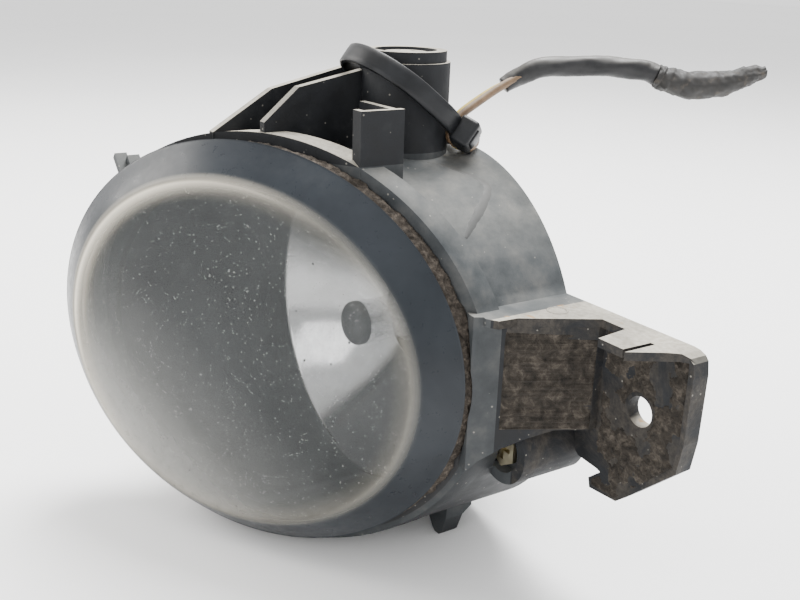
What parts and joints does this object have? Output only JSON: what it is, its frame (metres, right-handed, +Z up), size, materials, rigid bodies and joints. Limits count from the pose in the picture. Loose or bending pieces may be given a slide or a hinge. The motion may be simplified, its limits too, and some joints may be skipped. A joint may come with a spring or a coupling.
{
  "type": "fog light",
  "caption": "Round car fog light with a swept domed lens, a tilting reflector, a bayonet bulb with plugged wires, a vent tower and a side screw bracket.",
  "frame": {"origin": "middle of the screw hole in the side bracket, at half the plate's thickness", "axes": "+Y backwards along the barrel and bulb axis, +Z up as fitted, +X towards the bracket"},
  "size_m": [0.1371, 0.143, 0.1179],
  "materials": {
    "housing_plastic": "dusty moulded",
    "lens_glass": "hazed",
    "sealant": "dirt filled",
    "black_plastic": "moulded",
    "membrane": "matte",
    "white_plastic": "moulded",
    "mirror_coating": "vacuum metallised",
    "steel": "satin",
    "plated_steel": "passivated",
    "rubber": "matte",
    "bulb_glass": "clear",
    "black_paint": "matte",
    "tungsten": "coiled",
    "seal_rubber": "matte",
    "brass_contact": "stamped",
    "wire_yellow": "insulation",
    "wire_brown": "insulation",
    "nylon_black": "satin",
    "sleeve_pvc": "worn",
    "cloth_tape": "wound tape"
  },
  "bodies": {
    "lamp": {"rear_housing": "housing_plastic", "front_lens": "lens_glass", "lens_sealant": "sealant", "vent_cap": "black_plastic", "vent_membrane": "membrane", "pivot_brackets": "black_plastic", "adjuster_bush": "white_plastic", "cable_tie": "nylon_black", "wire_yellow": "wire_yellow", "wire_brown": "wire_brown", "harness_sleeve": "sleeve_pvc", "harness_tape": "cloth_tape"},
    "reflector_unit": {"reflector": "mirror_coating", "pivot_pins": "steel"},
    "adjuster": {"adjuster_screw": "plated_steel", "adjuster_oring": "rubber"},
    "nut": {"adjuster_nut": "white_plastic"},
    "bulb_unit": {"bulb_capsule": "bulb_glass", "bulb_tip_shade": "black_paint", "bulb_filament": "tungsten", "bulb_leads": "steel", "bulb_collar": "steel", "bulb_base": "black_plastic", "bulb_oring": "seal_rubber", "bulb_terminals": "brass_contact", "harness_plug": "black_plastic", "plug_seal": "seal_rubber"},
    "latch": {"plug_latch": "black_plastic"}
  },
  "joints": [
    {"name": "reflector_tilt", "type": "hinge", "parent": "lamp", "child": "reflector_unit", "pos_m": [-0.069, -0.0215, 0.0235], "axis": [1, 0, 0], "range_deg": [-2.5, 2.5]},
    {"name": "adjuster_turn", "type": "hinge", "parent": "lamp", "child": "adjuster", "pos_m": [-0.0255, -0.0105, -0.016], "axis": [0, 1, 0], "range_deg": [-312, 312]},
    {"name": "adjuster_travel", "type": "slide", "parent": "lamp", "child": "nut", "axis": [0, 1, 0], "range_m": [-0.00176, 0.00176]},
    {"name": "bulb_twist", "type": "hinge", "parent": "lamp", "child": "bulb_unit", "pos_m": [-0.069, -0.0005, 0.0015], "axis": [0, 1, 0], "range_deg": [0, 45], "deforming": ["wire_yellow", "wire_brown"]},
    {"name": "latch_press", "type": "hinge", "parent": "bulb_unit", "child": "latch", "pos_m": [-0.105, 0.0241, 0.0015], "axis": [0, 0, 1], "range_deg": [0, 6], "stiffness_Nm_per_rad": 0.02}
  ],
  "couplings": [
    {"joint": "adjuster_turn", "follows": "reflector_tilt", "ratio": 124.09},
    {"joint": "adjuster_travel", "follows": "reflector_tilt", "m_per_rad": 0.0395}
  ]
}
